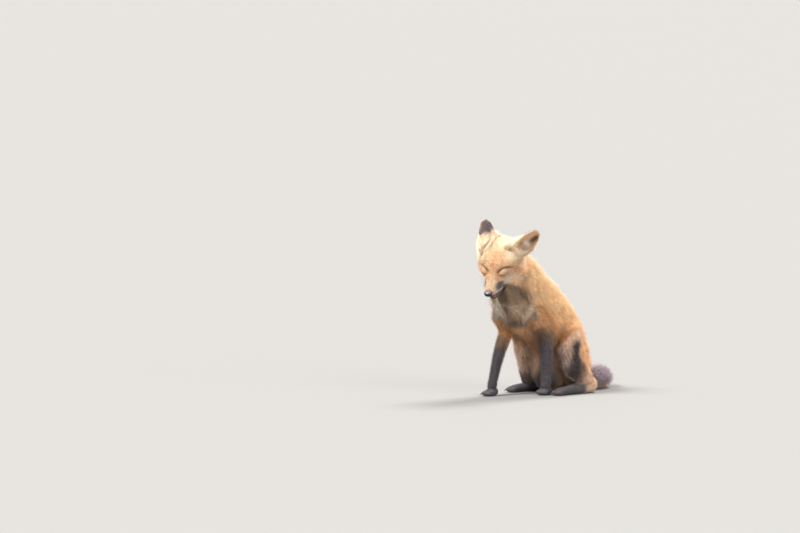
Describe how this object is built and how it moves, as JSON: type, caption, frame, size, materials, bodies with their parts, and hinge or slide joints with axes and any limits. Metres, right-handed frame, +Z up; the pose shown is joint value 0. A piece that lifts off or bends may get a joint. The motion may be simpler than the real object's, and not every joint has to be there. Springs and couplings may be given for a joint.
{
  "type": "young red fox",
  "caption": "Young red fox sitting upright on its haunches, head bowed with eyes squeezed shut, tail curled behind: a still, life-size display model.",
  "frame": {"origin": "the middle of the fox's bounding box in plan, on the floor that the paws, haunches and tail rest on", "axes": "+Z up; the fox's trunk faces -Y and the tail lies behind it, towards +Y; +X is the fox's left side"},
  "size_m": [0.2794, 0.472, 0.4468],
  "materials": {
    "red_coat": "soft orange-red fur, matt",
    "face_coat": "short sandy-orange fur, matt",
    "dark_coat": "short grey-black fur of the legs and feet, matt",
    "brush_coat": "long dusky grey-brown fur of the tail, matt",
    "ear_coat": "velvety dark fur behind, pale buff fur inside, matt",
    "nose_leather": "fine-grained damp nose leather, satin",
    "tongue": "wet flesh",
    "eyeball": "wet and glossy, all but hidden by the closed lids",
    "claw": "dark horn, satin",
    "whisker": "stiff black hair"
  },
  "bodies": {
    "root": {"head": "face_coat", "nose": "nose_leather", "jaw": "face_coat", "tongue": "tongue", "ear_left": "ear_coat", "eye_left": "eyeball", "ear_right": "ear_coat", "eye_right": "eyeball", "foreleg_left": "red_coat", "forepaw_left": "dark_coat", "hindleg_left": "red_coat", "hindpaw_left": "dark_coat", "foreleg_right": "red_coat", "forepaw_right": "dark_coat", "hindleg_right": "red_coat", "hindpaw_right": "dark_coat", "neck": "red_coat", "trunk": "red_coat", "tail_base": "brush_coat", "tail_middle": "brush_coat", "tail_tip": "brush_coat"}
  },
  "joints": []
}
